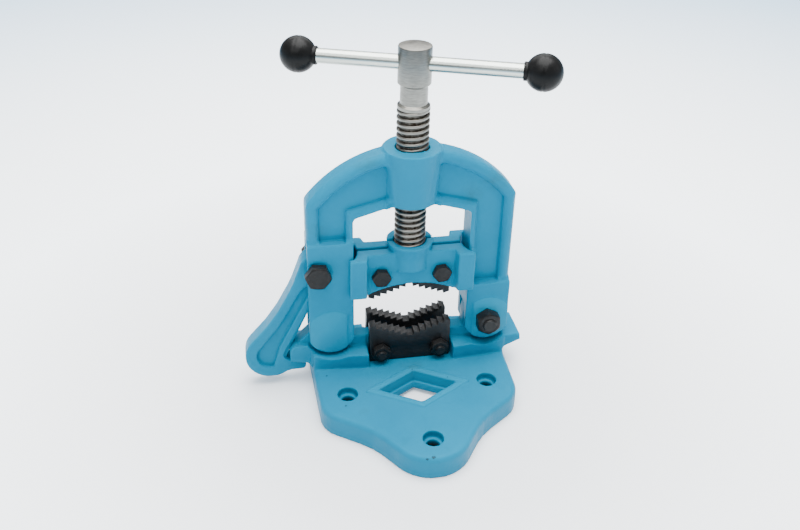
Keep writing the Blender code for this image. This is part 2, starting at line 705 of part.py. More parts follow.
def fastener(names, size, at, seats, head_out, pivot=None):
    """A bolt through two seats at -y and +y, with its nut on the other side."""
    head_seat, nut_seat = (seats, -seats) if head_out > 0 else (-seats, seats)
    length = 2 * seats + size[3] + size[4]
    bolt(names[0], size, at, head_seat, head_out, length, pivot)
    nut(names[1], size, at, nut_seat, -head_out, pivot)


# Jaws

def teeth(notch, out):
    """Half of a toothed V edge, from its middle. out is 1 for a V open upwards."""
    points = [(0.0, notch)]
    for i in range(TOOTH_COUNT):
        x = NOTCH_HALF + i * TOOTH_PITCH
        z = notch + out * i * (TOOTH_STEP - TOOTH_FALL)
        points += [(x, z), (x + TOOTH_LEAN, z + out * TOOTH_STEP)]
    points.append((JAW_REACH, notch + out * TOOTH_COUNT * (TOOTH_STEP - TOOTH_FALL)))
    return points


def jaw(name, notch, out, back, middle_y):
    half = teeth(notch, out)
    outline = [(half[-1][0], back)] + half[::-1] + [(-x, z) for x, z in half[1:]] + [(-half[-1][0], back)]
    return plate(name, outline, middle_y - JAW_THICK / 2, middle_y + JAW_THICK / 2)


def bolt_bores(thing, height, reach):
    for x in (-JAW_BOLT_X, JAW_BOLT_X):
        cut(thing, pin("bore", M8[0] + GAP, "Y", (x, height), -reach, reach))


def make_lower_jaws():
    middle = WEB_HALF + GAP + JAW_THICK / 2
    for name, side in (("lower_jaw_front", -1), ("lower_jaw_rear", 1)):
        plate_jaw = jaw(name, LOWER_NOTCH_Z, 1, BASE_THICK + GAP, side * middle)
        bolt_bores(plate_jaw, LOWER_BOLT_Z, FAR)
        finish(plate_jaw, JAW_STEEL)
    for name, x in (("left", -JAW_BOLT_X), ("right", JAW_BOLT_X)):
        names = (f"lower_jaw_bolt_{name}", f"lower_jaw_nut_{name}")
        fastener(names, M8, (x, LOWER_BOLT_Z), middle + JAW_THICK / 2, 1)


def make_upper_jaw(pivot):
    upper = jaw("upper_jaw", UPPER_NOTCH_Z, -1, UPPER_JAW_TOP, 0.0)
    bolt_bores(upper, UPPER_BOLT_Z, FAR)
    return finish(upper, JAW_STEEL, pivot)


# Jaw carrier

def carrier_plan():
    """Half of one carrier half seen from above, for x > 0 and y < 0."""
    near, far = GUIDE_X
    rail = YOKE_HALF + GAP
    draft = 2 * OVERLAP
    return [(CARRIER_END[0], -SPLIT), (CARRIER_END[0] + draft, -YOKE_HALF / 2),
            (CARRIER_END[1], -rail + draft), (CARRIER_END[1], -rail), (far, -rail), (far, -GUIDE_FRONT),
            (near + draft, -GUIDE_FRONT), (near - draft, -CARRIER_FACE)]


def carrier_arch():
    """What lies under the carrier: flat under the guides, an arch between them."""
    near, far, low = GUIDE_X[0] - OVERLAP, GUIDE_X[1] + FAR, ARCH_FOOT - FAR
    radius = (near**2 + CARRIER_ARCH**2) / (2 * CARRIER_ARCH)
    lean = degrees(acos(near / radius))
    arch = arc((0, ARCH_LOW - radius), radius, lean, 180 - lean, 16)
    return [(far, low), (far, GUIDE_LOW), (near, GUIDE_LOW)] + arch + [
        (-near, GUIDE_LOW), (-far, GUIDE_LOW), (-far, low)]


def socket_pocket():
    """The turned pocket that traps the screw's end collar."""
    top = COLLAR_Z + COLLAR_TALL + RUN
    profile = [(0.0, SOCKET_TOP + FAR), (THREAD_R + RUN, SOCKET_TOP + FAR), (THREAD_R + RUN, SHELF_Z),
               (END_NECK_R + RUN, SHELF_Z), (END_NECK_R + RUN, top), (COLLAR_R + RUN, top),
               (COLLAR_R + RUN, COLLAR_Z - GAP), (0.0, COLLAR_Z - GAP)]
    return turned("socket_pocket", profile, False, FINE)


def carrier_half(name, side, pivot):
    plan = carrier_plan()
    outline = [(x, -side * y) for x, y in plan] + [(-x, -side * y) for x, y in reversed(plan)]
    half = plate(name, outline, ARCH_FOOT - CARRIER_ARCH / 2, CARRIER_TOP, "Z")
    cylinder = pin("socket", SOCKET_R, "Z", (0, 0), SOCKET_LOW, SOCKET_TOP, FINE)
    flare_low = SOCKET_TOP - SOCKET_FLARE_TALL
    join(cylinder, pin("flare", SOCKET_R, "Z", (0, 0), flare_low, SOCKET_TOP, FINE, SOCKET_FLARE))
    low, high = sorted((side * SPLIT, -side * FAR))
    cut(cylinder, box("split", (-FAR, low, SOCKET_LOW - FAR), (FAR, high, SOCKET_TOP + FAR)))
    join(half, cylinder)
    cut(half, plate("carrier_arch", carrier_arch(), -FAR, FAR))
    cut(half, socket_pocket())
    reach = JAW_REACH + GAP
    deep = JAW_THICK / 2 + GAP
    cut(half, box("jaw_pocket", (-reach, -deep, ARCH_FOOT - FAR), (reach, deep, UPPER_JAW_TOP + GAP)))
    bolt_bores(half, UPPER_BOLT_Z, FAR)
    return finish(half, PAINT, pivot)


def make_carrier(pivot):
    carrier_half("carrier_front", -1, pivot)
    carrier_half("carrier_rear", 1, pivot)
    make_upper_jaw(pivot)
    for name, x in (("left", -JAW_BOLT_X), ("right", JAW_BOLT_X)):
        names = (f"carrier_bolt_{name}", f"carrier_nut_{name}")
        fastener(names, M8, (x, UPPER_BOLT_Z), CARRIER_FACE, -1, pivot)


# Screw, bar and knobs

def make_screw(pivot):
    chamfer = SCREW_CHAMFER
    foot_z = SHELF_Z + RUN
    profile = [(0.0, HEAD_TOP), (HEAD_R - chamfer, HEAD_TOP), (HEAD_R, HEAD_TOP - chamfer),
               (HEAD_R, HEAD_LOW + chamfer), (HEAD_R - chamfer, HEAD_LOW), (SCREW_NECK_R, HEAD_LOW),
               (SCREW_NECK_R, THREAD_TOP), (THREAD_R - chamfer, THREAD_TOP),
               (THREAD_R, THREAD_TOP - chamfer), (THREAD_R, foot_z), (END_NECK_R, foot_z),
               (END_NECK_R, COLLAR_Z + COLLAR_TALL), (COLLAR_R, COLLAR_Z + COLLAR_TALL),
               (COLLAR_R, COLLAR_Z), (0.0, COLLAR_Z)]
    screw = turned("screw", profile, False, FINE)
    hole = pin("bar_hole", BAR_R + GAP, "Y", (0, 0), -FAR, FAR)
    hole.matrix_world = Matrix.Translation((0, 0, BAR_Z)) @ Matrix.Rotation(BAR_TURN + pi / 2, 4, "Z")
    cut(screw, hole)
    return finish(screw, TURNED_STEEL, pivot)


def along_bar(thing):
    """Turns a piece made along +Z to lie along the bar."""
    thing.data.transform(Matrix.Translation((0, 0, BAR_Z)) @ Matrix.Rotation(BAR_TURN, 4, "Z")
                         @ Matrix.Rotation(pi / 2, 4, "Y"))


def make_bar(pivot):
    reach = SOCKET_DEEP - GAP
    bar = pin("tommy_bar", BAR_R, "Z", (0, 0), -LEFT_BALL - reach, RIGHT_BALL + reach, FINE)
    along_bar(bar)
    return finish(bar, ZINC, pivot)


def make_knob(name, centre, side, pivot):
    """A ball with a short collar, bored for the end of the bar."""
    bore = BAR_R + GAP
    lean = degrees(asin(STEM_R / BALL_R))
    ball = arc((0.0, 0.0), BALL_R, 90, -90 + lean, 14)
    ball[0] = (0.0, BALL_R)
    profile = ball + [(STEM_R, -STEM_LONG), (bore, -STEM_LONG), (bore, SOCKET_DEEP), (0.0, SOCKET_DEEP)]
    knob = frozen(turned(name, profile, False))
    flip = Matrix.Identity(4) if side > 0 else Matrix.Rotation(pi, 4, "X")
    knob.data.transform(Matrix.Translation((0, 0, side * centre)) @ flip)
    along_bar(knob)
    return finish(knob, BLACK_PLASTIC, pivot)


clear_scene()
PARTS = make_collection("pipe_vise")
CUTTERS = make_collection("pipe_vise_cutters")

yoke_pivot = pivot_at("yoke_pivot", (LEG_X, 0, PIVOT_Z))
latch_pivot = pivot_at("latch_pivot", (LATCH_X, 0, LATCH_Z), yoke_pivot)
carrier_axis = pivot_at("carrier_axis", (0, 0, SOCKET_TOP), yoke_pivot)
screw_axis = pivot_at("screw_axis", (0, 0, COLLAR_Z), carrier_axis)
bar_axis = pivot_at("bar_axis", (0, 0, BAR_Z), screw_axis)

make_base()
make_lower_jaws()
make_yoke(yoke_pivot)
fastener(("hinge_bolt", "hinge_nut"), M12, (LEG_X, PIVOT_Z), YOKE_HALF + BOSS_RISE - SPOT_DEEP, 1)
make_latch(latch_pivot)
fastener(("latch_bolt", "latch_nut"), M12, (LATCH_X, LATCH_Z), YOKE_HALF - SPOT_DEEP, -1, yoke_pivot)
make_carrier(carrier_axis)
make_screw(screw_axis)
make_bar(bar_axis)
make_knob("knob_left", LEFT_BALL, -1, bar_axis)
make_knob("knob_right", RIGHT_BALL, 1, bar_axis)
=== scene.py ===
"""The looks of the pipe vise: painted castings, a threaded screw, toothed jaws, chamfered
hex fasteners, a zinc bar with moulded balls, and the stage and lights.
Metres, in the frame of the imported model.
"""

from math import acos, cos, hypot, pi, radians, sin, sqrt, tan

import bmesh
import bpy
import numpy as np
from mathutils import Matrix, Vector


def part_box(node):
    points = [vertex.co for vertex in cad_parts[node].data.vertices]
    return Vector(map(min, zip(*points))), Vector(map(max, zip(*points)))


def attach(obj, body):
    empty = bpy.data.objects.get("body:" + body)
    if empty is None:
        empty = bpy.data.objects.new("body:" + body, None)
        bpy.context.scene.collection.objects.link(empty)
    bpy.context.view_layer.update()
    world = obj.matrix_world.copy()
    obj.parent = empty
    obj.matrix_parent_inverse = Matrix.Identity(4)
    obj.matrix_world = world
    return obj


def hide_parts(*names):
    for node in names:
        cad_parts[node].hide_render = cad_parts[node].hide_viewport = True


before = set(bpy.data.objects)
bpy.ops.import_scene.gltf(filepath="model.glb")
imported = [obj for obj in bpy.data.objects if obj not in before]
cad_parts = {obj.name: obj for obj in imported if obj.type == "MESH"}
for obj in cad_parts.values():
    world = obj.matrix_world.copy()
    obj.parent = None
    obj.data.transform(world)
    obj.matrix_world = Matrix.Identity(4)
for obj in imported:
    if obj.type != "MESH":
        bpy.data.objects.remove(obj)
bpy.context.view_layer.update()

# Camera, fitted to the photograph
PHOTO = (800, 530)
CAMERA_AT = (-0.12192, -0.58459, 0.49476)
CAMERA_YAW = radians(10.98)
CAMERA_PITCH = radians(28.74)
CAMERA_ROLL = radians(1.34)
FOCAL_PIXELS = 853.69
CENTRE_PIXEL = (400.33, 200.44)
SENSOR = 36

# Light: name, place, size, power and colour
LIGHT_AIM = (0, 0, 0.12)
LIGHTS = (
    ("key", (-0.55, -0.75, 1.15), (0.9, 0.7), 7, (1, 1, 1)),
    ("over", (0.05, 0.05, 1.30), (1.2, 1.2), 58, (1, 1, 1)),
    ("fill", (0.95, -0.45, 0.75), (0.7, 0.9), 2, (0.96, 0.98, 1.0)),
    ("back", (0.1, 0.9, 0.9), (1.2, 0.5), 6, (1, 1, 1)),
)
WORLD_TONE = (0.90, 0.95, 1.0, 1.0)
WORLD_STRENGTH = 0.42

# Floor
FLOOR_R = 6.0
FLOOR_TONE = (0.86, 0.89, 0.92, 1.0)
GLOW_NEAR = (0.17, 0.42)  # where the glow starts and is full
GLOW_FAR = (0.60, 1.70)  # where it turns blue
GLOW_TONES = ((0.15, 0.15, 0.15), (0.88, 0.96, 1.0), (0.20, 0.60, 1.0))
GLOW_STRENGTH = 1.8
UNDER_HOLE_SHADE = (0.0095, 0.0075)  # reach and full reach of the painted shade on the floor under each mounting hole

# Colours of the paint
PAINT = ((0.0005, 0.158, 0.276), (0.001, 0.178, 0.304))
# lighter paint on edges: part wear, part painted highlight
PAINT_WEAR_AND_HIGHLIGHT = (0.003, 0.225, 0.360)
# painted shade in hollows and creases
PAINT_HOLLOW_SHADE = (0.0005, 0.088, 0.162)
PAINT_GRIME = (0.008, 0.112, 0.172)
PAINT_STAIN = (0.030, 0.100, 0.120)
PAINT_SHADE = (0.003, 0.008, 0.012)
BARE_IRON = (0.030, 0.032, 0.030)
PAINT_GLOSS = 0.13
PAINT_GLOSS_TINT = (0.05, 0.70, 1.0, 1.0)

# Colours of metal and plastic
JAW_STEEL = (0.0035, 0.0040, 0.0050)
JAW_WEAR = 0.20
BOLT_STEEL = (0.0030, 0.0031, 0.0032)
BOLT_WEAR = 0.18
STEEL_LIGHTER = 1.9  # how much lighter the second tone of blackened steel is
STEEL_EDGE = (0.085, 0.083, 0.080)
RUST = (0.055, 0.036, 0.026)
TURNED_STEEL = ((0.140, 0.134, 0.118), (0.246, 0.238, 0.214))
GROOVE_DARK = (0.030, 0.020, 0.012)
ZINC = ((0.37, 0.40, 0.37), (0.52, 0.55, 0.51))
ZINC_SPOT = (0.22, 0.22, 0.21)
PLASTIC = ((0.004, 0.004, 0.004), (0.008, 0.008, 0.008))
PLASTIC_GLOSS = 0.10

# Castings
VOXEL = 0.0008
CAST_SMOOTH = 7  # passes of smoothing
CAST_KEEP = 0.3  # share of the faces that stays
WEAR_AND_SHADING_PASSES = 4  # how often the bends of neighbours are averaged
WEAR_AND_SHADING_FULL = 0.16  # the mean bend that shows full wear and painted highlight on edges, or full painted shade in hollows

# Base, with the reach and the full reach of its painted shade
HOLES = ((-0.0585, -0.0517), (0.0585, -0.0517), (0.0, -0.1116))
HOLE_SHADE_Z = 0.0045  # the middle of the painted shade in the lower part of each mounting hole
HOLE_SHADE = (0.0105, 0.0068)
WEB_SHADE_AT = (0.0, 0.0, 0.040)  # painted shade on the web between the lower jaws
WEB_SHADE = (0.022, 0.013)
TONGUE_NOTCH = ((0.0280, -0.0110, 0.0430), (0.0478, 0.0110, 0.0600))  # lowers the tongues

# Diamond opening: its rim and wall as growth and height, its rows with painted highlight and its rows with
# painted shade
DIAMOND_Y = -0.0515
DIAMOND_HALF = (0.0430, 0.0250)
DIAMOND_R = (0.0015, 0.0025)
CORNER_STEPS = 7
DIAMOND_PROFILE = (
    (0.0014, 0.0198), (0.0006, 0.0206), (-0.0001, 0.0210), (-0.0042, 0.0210), (-0.0049, 0.0204),
    (-0.0052, 0.0196), (-0.0052, 0.0110), (-0.0055, 0.0107), (-0.0067, 0.0107), (-0.0070, 0.0104),
    (-0.0070, 0.0041), (-0.0050, 0.0041), (-0.0030, 0.0150),
)
DIAMOND_HIGHLIGHT_ROWS = {2: 0.9, 3: 0.6, 4: 1.0, 7: 0.7, 8: 0.7}
DIAMOND_SHADE_ROWS = {0: 1.0, 6: 0.8, 10: 0.8}

# Places of chips and dirt in the paint, with their radii
CHIPS = (
    ((-0.0088, -0.1318, 0.0192), 0.0021), ((-0.0038, -0.1309, 0.0195), 0.0021),
    ((-0.0618, -0.0656, 0.0200), 0.0013), ((-0.0731, -0.0270, 0.0200), 0.0012),
    ((-0.0838, -0.0110, 0.1699), 0.0013), ((0.0266, -0.0454, 0.0210), 0.0009),
    ((-0.0008, -0.0310, 0.0210), 0.0011), ((-0.0741, -0.0140, 0.0660), 0.0011),
)
CHIP_FULL = 0.3  # share of a chip's radius that is fully bare
STAINS = (
    ((0.0487, -0.0080, 0.1739), 0.012), ((0.0668, -0.0080, 0.1851), 0.014),
    ((-0.0373, -0.0080, 0.2097), 0.014), ((-0.0483, -0.0752, 0.0200), 0.005),
    ((0.0, -0.0260, 0.0200), 0.012), ((-0.0760, -0.0080, 0.1500), 0.012),
)

# Yoke
LEG_X = 0.0665
LEG_HALF = 0.0185
ARCH_CENTRE = (0.0, 0.1113)
ARCH_R = 0.105
ARCH_RISE = 0.03  # where the arch takes over from the legs, above its centre
RIM_HALF = 0.011
RIM_ROUND = 0.0055
RIM_WIDE = 0.0100
PANEL_HALF = 0.0055
SHAPED_FROM = (0.1415, 0.0925)  # lowest shaped height of the left and the right leg
SHAPED_OUT = 0.022  # rims and rails are shaped only farther out than this
SLACK = 0.0005  # how far past a rim or rail its shaping still takes hold
FLANK_FROM = 0.6  # share of the rim's width where its flank starts
FLANK_DROP = 0.0030
FLANK_WIDE = 0.0027
FRAME_SIDE = (0.0535, 0.1665)
FRAME_TOP = (0.0210, 0.1745)
BOSS_LOW = 0.169
BOSS_TOP = 0.2155
BOSS_R = (0.0200, 0.0232)
BOSS_SLACK = 0.0008
BOSS_SIDE = 0.0215  # the web is set back beside the boss up to here

# Pads on the yoke's feet
FOOT_Z = 0.055
FOOT_FRONT = -0.0150
PAD_IN = 0.0125
PAD_OUT = LEG_HALF - 0.0004
PAD_R = 0.0212
FOOT_R = 0.0202
PAD_POINTS = 96
PAD_STEPS = ((0.0, 0.0010), (0.0, 0.0001), (0.0004, -0.0002))  # shrink and depth of each outline

# Lip of the latch, relative to the latch's pin
LATCH_PIN = (-0.0769, 0.1131)
LIP_LINE = ((-0.0085, -0.0395), (-0.0101, -0.0425), (-0.0276, -0.0768), (-0.0310, -0.0860))
LIP_SHARES = (0.0, 0.4, 1.0, 1.0)
LIP_WIDE = 0.0030
LIP_HALF = 0.0050
LIP_SOFT = 0.0008
LIP_IN = 0.0015
LIP_OUT = 0.0002

# Screw
PITCH = 0.005
CREST_R = 0.01285
ROOT_R = 0.0106
THREAD_LOW = 0.1279
THREAD_TOP = 0.2511
LAND_LOW = THREAD_TOP - 0.0045
LAND_IN_R = 0.0060
LAND_R = CREST_R - 0.0003
NECK_R = 0.0106
HEAD_LOW = 0.2665
HEAD_R = 0.01277
HEAD_SOFT = 0.0011
COLLAR_R = 0.0118
COLLAR_TALL = 0.0075
END_R = 0.0085
AXIS_R = 0.0002  # a point on the axis of a turned piece

# Bar and balls
BAR_Z = 0.2826
BAR_R = 0.0057
BAR_TURN = radians(-19.8)
BAR_HOLE_R = BAR_R + 0.0003
IN_BALL = 0.002
LEFT_BALL = 0.0883
RIGHT_BALL = 0.0940
BALL_R = 0.0140
BALL_STEPS = 40
POLE_GAP = 0.004
STEM_R = 0.0071
MOUTH_Z = -0.0148
SEAM_DEEP = 0.0003
SEAM_HALF = 0.0007

# Fasteners: width across flats, height of head and nut, shank radius and pitch
M12 = (0.0190, 0.0075, 0.0100, 0.0060, 0.00175)
M8 = (0.0140, 0.0053, 0.0065, 0.0040, 0.00125)
LEVEL = pi / 6  # turns a hexagon so that a corner points to each side

# Bolt, nut, body, size, side of the head, and the turns of head and nut past level
FASTENERS = (
    ("hinge_bolt", "hinge_nut", "base", M12, 1, (0.20, 0.58)),
    ("latch_bolt", "latch_nut", "yoke", M12, -1, (-0.12, 0.30)),
    ("carrier_bolt_left", "carrier_nut_left", "carrier", M8, -1, (-0.07, 0.40)),
    ("lower_jaw_bolt_left", "lower_jaw_nut_left", "base", M8, 1, (0.30, 0.34)),
    ("carrier_bolt_right", "carrier_nut_right", "carrier", M8, -1, (0.13, 0.40)),
    ("lower_jaw_bolt_right", "lower_jaw_nut_right", "base", M8, 1, (0.30, 0.34)),
)
THREAD_PROUD = 0.0018  # how far bolts stand out of their nuts
THREAD_ROOT = 0.86  # share of the shank's radius that the thread's root has
HEX_FACE = 0.475  # radius of the round face, as a share of the width across flats
HEX_OVER = 0.0002
HEX_SLOPE = 0.55
HEX_GAP = 0.0003
SHANK_BACK = -0.002
BORE_GAP = 0.0002
OVERLAP = 0.001

# Worn edges: width and the least angle that counts as one
JAW_EDGE = (0.0003, 30)
HEX_EDGE = (0.00018, 25)


# Meshes

def new_object(name, mesh):
    thing = bpy.data.objects.new(name, mesh)
    bpy.context.scene.collection.objects.link(thing)
    return thing


def from_bmesh(name, built):
    mesh = bpy.data.meshes.new(name)
    built.normal_update()
    built.to_mesh(mesh)
    built.free()
    return new_object(name, mesh)


def frozen(thing):
    """The object with its modifiers made part of its mesh."""
    bpy.context.view_layer.update()
    ready = thing.evaluated_get(bpy.context.evaluated_depsgraph_get())
    mesh = bpy.data.meshes.new_from_object(ready)
    thing.modifiers.clear()
    thing.data = mesh
    return thing


def node_copy(node, name):
    """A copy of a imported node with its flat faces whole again."""
    built = bmesh.new()
    built.from_mesh(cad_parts[node].data)
    bmesh.ops.remove_doubles(built, verts=built.verts, dist=0.000001)
    bmesh.ops.dissolve_limit(built, angle_limit=0.002, verts=built.verts, edges=built.edges)
    thing = from_bmesh(name, built)
    thing.data.materials.clear()
    return thing


def smooth_shading(thing, angle=40):
    thing.data.shade_smooth()
    thing.data.set_sharp_from_angle(angle=radians(angle))
    return thing


def soften_edges(thing, width, angle):
    bevel = thing.modifiers.new("edges", "BEVEL")
    bevel.width = width
    bevel.segments = 2
    bevel.limit_method = "ANGLE"
    bevel.angle_limit = radians(angle)
    return frozen(thing)


def boolean(target, other, operation):
    step = target.modifiers.new("boolean", "BOOLEAN")
    step.operation = operation
    step.solver = "EXACT"
    step.object = other
    frozen(target)
    bpy.data.objects.remove(other)
    return target


def cylinder(name, radius, low, high, sides=64):
    """Along Z, at the origin."""
    built = bmesh.new()
    bmesh.ops.create_cone(
        built, cap_ends=True, segments=sides, radius1=radius, radius2=radius, depth=high - low)
    bmesh.ops.translate(built, vec=(0, 0, (low + high) / 2), verts=built.verts)
    return from_bmesh(name, built)


def block(name, low, high):
    """A box between two corners."""
    built = bmesh.new()
    bmesh.ops.create_cube(built, size=1)
    for vert in built.verts:
        vert.co = Vector([a + (b - a) * (c + 0.5) for a, b, c in zip(low, high, vert.co)])
    return from_bmesh(name, built)


def swept(name, rings, looped=False):
    """A closed skin over rings of points, capped at its two ends or joined up as a loop."""
    built = bmesh.new()
    rows = [[built.verts.new(p) for p in ring] for ring in rings]
    count = len(rows[0])
    for low, high in zip(rows, rows[1:] + rows[:1] if looped else rows[1:]):
        for i in range(count):
            j = (i + 1) % count
            built.faces.new((low[i], low[j], high[j], high[i]))
    if not looped:
        built.faces.new(rows[0][::-1])
        built.faces.new(rows[-1])
    bmesh.ops.recalc_face_normals(built, faces=built.faces)
    return from_bmesh(name, built)


def turned(name, profile, sides=96):
    """A skin from (radius, height) points, bottom to top, round the Z axis."""
    angles = [2 * pi * i / sides for i in range(sides)]
    return swept(name, [[(radius * cos(a), radius * sin(a), z) for a in angles] for radius, z in profile])


def thread_depth(phase):
    """How much of the full radius a thread has over one pitch: 0 in the root, 1 on the crest."""
    from_crest = abs(phase % 1.0 - 0.5) * 2
    share = min(1.0, max(0.0, (0.86 - from_crest) / 0.62))
    return share * share * (3 - 2 * share)


def threaded(name, crest, root, pitch, low, high, sides=72, runout=0.5, rows_per_turn=14):
    """A rod along Z with a right-hand thread that fades out at both ends."""
    rows = int((high - low) / pitch * rows_per_turn)
    rings = []
    for k in range(rows + 1):
        z = low + (high - low) * k / rows
        ends = min(1.0, min(z - low, high - z) / (pitch * runout))
        ring = []
        for i in range(sides):
            a = 2 * pi * i / sides
            share = thread_depth(z / pitch - a / (2 * pi))
            radius = root + (crest - root) * share * ends
            ring.append((radius * cos(a), radius * sin(a), z))
        rings.append(ring)
    return swept(name, rings)


# Materials

class Look:
    """A Principled material and short calls for its nodes."""

    def __init__(self, name, roughness, metallic=0.0):
        self.material = bpy.data.materials.new(name)
        self.material.use_nodes = True
        self.tree = self.material.node_tree
        self.shader = self.tree.nodes["Principled BSDF"]
        self.shader.inputs["Roughness"].default_value = roughness
        self.shader.inputs["Metallic"].default_value = metallic
        self.place = self.tree.nodes.new("ShaderNodeTexCoord").outputs["Object"]

    def link(self, source, target):
        self.tree.links.new(source, target)

    def noise(self, scale, detail=3.0, rough=0.55, squash=(1, 1, 1)):
        spread = self.tree.nodes.new("ShaderNodeMapping")
        spread.inputs["Scale"].default_value = squash
        self.link(self.place, spread.inputs["Vector"])
        made = self.tree.nodes.new("ShaderNodeTexNoise")
        made.inputs["Scale"].default_value = scale
        made.inputs["Detail"].default_value = detail
        made.inputs["Roughness"].default_value = rough
        self.link(spread.outputs["Vector"], made.inputs["Vector"])
        return made.outputs["Fac"]

    def span(self, source, low, high, first, last):
        made = self.tree.nodes.new("ShaderNodeMapRange")
        for socket, value in zip(("From Min", "From Max", "To Min", "To Max"), (low, high, first, last)):
            made.inputs[socket].default_value = value
        self.link(source, made.inputs["Value"])
        return made.outputs["Result"]

    def mix(self, factor, first, second):
        made = self.tree.nodes.new("ShaderNodeMix")
        made.data_type = "RGBA"
        for socket, value in ((0, factor), (6, first), (7, second)):
            if isinstance(value, bpy.types.NodeSocket):
                self.link(value, made.inputs[socket])
            else:
                made.inputs[socket].default_value = (*value, 1.0)
        return made.outputs[2]

    def two_tones(self, source, tones, low=0.3):
        """One tone where a noise is low, the other where it is high."""
        return self.mix(self.span(source, low, 0.7, 0, 1), *tones)

    def times(self, first, second):
        made = self.tree.nodes.new("ShaderNodeMath")
        made.operation = "MULTIPLY"
        self.link(first, made.inputs[0])
        self.link(second, made.inputs[1])
        return made.outputs[0]

    def largest(self, sources):
        best = sources[0]
        for source in sources[1:]:
            made = self.tree.nodes.new("ShaderNodeMath")
            made.operation = "MAXIMUM"
            self.link(best, made.inputs[0])
            self.link(source, made.inputs[1])
            best = made.outputs[0]
        return best

    def near(self, place, reach, full=0.0):
        """1 up to a distance from a place, 0 past a longer one."""
        away = self.tree.nodes.new("ShaderNodeVectorMath")
        away.operation = "DISTANCE"
        self.link(self.place, away.inputs[0])
        away.inputs[1].default_value = place
        return self.span(away.outputs["Value"], full, reach, 1.0, 0.0)

    def attribute(self, name):
        made = self.tree.nodes.new("ShaderNodeAttribute")
        made.attribute_name = name
        return made.outputs["Fac"]

    def gloss(self, level):
        self.shader.inputs["Specular IOR Level"].default_value = level

    def colour(self, source):
        self.link(source, self.shader.inputs["Base Color"])

    def uneven(self, source, low, high):
        """Roughness between two values over a noise."""
        self.link(self.span(source, 0.3, 0.7, low, high), self.shader.inputs["Roughness"])

    def bump(self, *layers):
        """Each layer is (height, strength, distance)."""
        normal = None
        for height, strength, distance in layers:
            made = self.tree.nodes.new("ShaderNodeBump")
            made.inputs["Strength"].default_value = strength
            made.inputs["Distance"].default_value = distance
            self.link(height, made.inputs["Height"])
            if normal:
                self.link(normal, made.inputs["Normal"])
            normal = made.outputs["Normal"]
        self.link(normal, self.shader.inputs["Normal"])


def casting_paint():
    look = Look("casting_paint", 0.42)
    look.gloss(PAINT_GLOSS)
    look.shader.inputs["Specular Tint"].default_value = PAINT_GLOSS_TINT
    body = look.two_tones(look.noise(22, 4), PAINT)
    # edges lighter: paint worn thin there, and a painted highlight
    edge = look.span(look.attribute("edge"), 0.30, 1.0, 0.0, 0.45)
    body = look.mix(edge, body, PAINT_WEAR_AND_HIGHLIGHT)
    # painted shade darkens the hollows and creases
    hollow = look.span(look.attribute("hollow"), 0.20, 0.9, 0.0, 0.80)
    body = look.mix(hollow, body, PAINT_HOLLOW_SHADE)
    grime = look.span(look.noise(75, 6, 0.7), 0.60, 0.78, 0.0, 0.30)
    body = look.mix(grime, body, PAINT_GRIME)
    stained = look.largest([look.near(*stain) for stain in STAINS])
    cloud = look.span(look.noise(120, 5, 0.65), 0.38, 0.68, 0.0, 0.75)
    body = look.mix(look.times(stained, cloud), body, PAINT_STAIN)
    chipped = look.largest([look.near(place, radius, radius * CHIP_FULL) for place, radius in CHIPS])
    torn = look.span(look.noise(900, 3), 0.35, 0.60, 0.3, 1.0)
    chips = look.span(look.times(chipped, torn), 0.30, 0.42, 0.0, 0.85)
    body = look.mix(chips, body, BARE_IRON)
    # painted shade in the lower part of each mounting hole
    painted_hole_shade = look.largest([look.near((x, y, HOLE_SHADE_Z), *HOLE_SHADE) for x, y in HOLES])
    # and painted shade on the web between the lower jaws
    shaded = look.largest([painted_hole_shade, look.near(WEB_SHADE_AT, *WEB_SHADE)])
    look.colour(look.mix(shaded, body, PAINT_SHADE))
    look.uneven(look.noise(160, 4), 0.36, 0.50)
    look.bump((look.noise(330, 5, 0.6), 0.50, 0.0004), (look.noise(60, 2), 0.30, 0.0010))
    return look.material


def blackened(name, tint, wear):
    look = Look(name, 0.45, 0.55)
    body = look.two_tones(look.noise(240, 5), (tint, tuple(c * STEEL_LIGHTER for c in tint)), 0.35)
    body = look.mix(look.span(look.attribute("edge"), 0.35, 1.0, 0.0, wear), body, STEEL_EDGE)
    rust = look.span(look.noise(420, 3), 0.62, 0.75, 0.0, 0.35)
    look.colour(look.mix(rust, body, RUST))
    look.uneven(look.noise(300, 4), 0.36, 0.60)
    look.bump((look.noise(700, 4), 0.25, 0.0002))
    return look.material


def turned_steel():
    look = Look("turned_steel", 0.34, 0.92)
    lines = look.noise(160, 4, 0.6, squash=(1, 1, 14))
    body = look.two_tones(lines, TURNED_STEEL)
    # darker the deeper in the thread's grooves, patchily
    patchy = look.span(look.noise(260, 5), 0.35, 0.65, 0.35, 1.0)
    groove = look.times(look.span(look.attribute("groove"), 0.03, 0.42, 0.0, 0.96), patchy)
    look.colour(look.mix(groove, body, GROOVE_DARK))
    look.uneven(look.noise(200, 3), 0.28, 0.46)
    look.bump((lines, 0.30, 0.0002))
    return look.material


def zinc():
    look = Look("zinc_bar", 0.22, 0.95)
    streaks = look.noise(40, 4, 0.6, squash=(0.4, 0.4, 9))
    body = look.two_tones(streaks, ZINC)
    spots = look.span(look.noise(520, 2), 0.66, 0.72, 0.0, 0.5)
    look.colour(look.mix(spots, body, ZINC_SPOT))
    look.uneven(streaks, 0.17, 0.30)
    look.bump((look.noise(420, 2), 0.08, 0.0002))
    return look.material


def moulded_black():
    look = Look("black_plastic", 0.33)
    look.gloss(PLASTIC_GLOSS)
    look.colour(look.two_tones(look.noise(90, 4), PLASTIC))
    look.uneven(look.noise(140, 4), 0.28, 0.42)
    look.bump((look.noise(500, 3), 0.05, 0.0002))
    return look.material


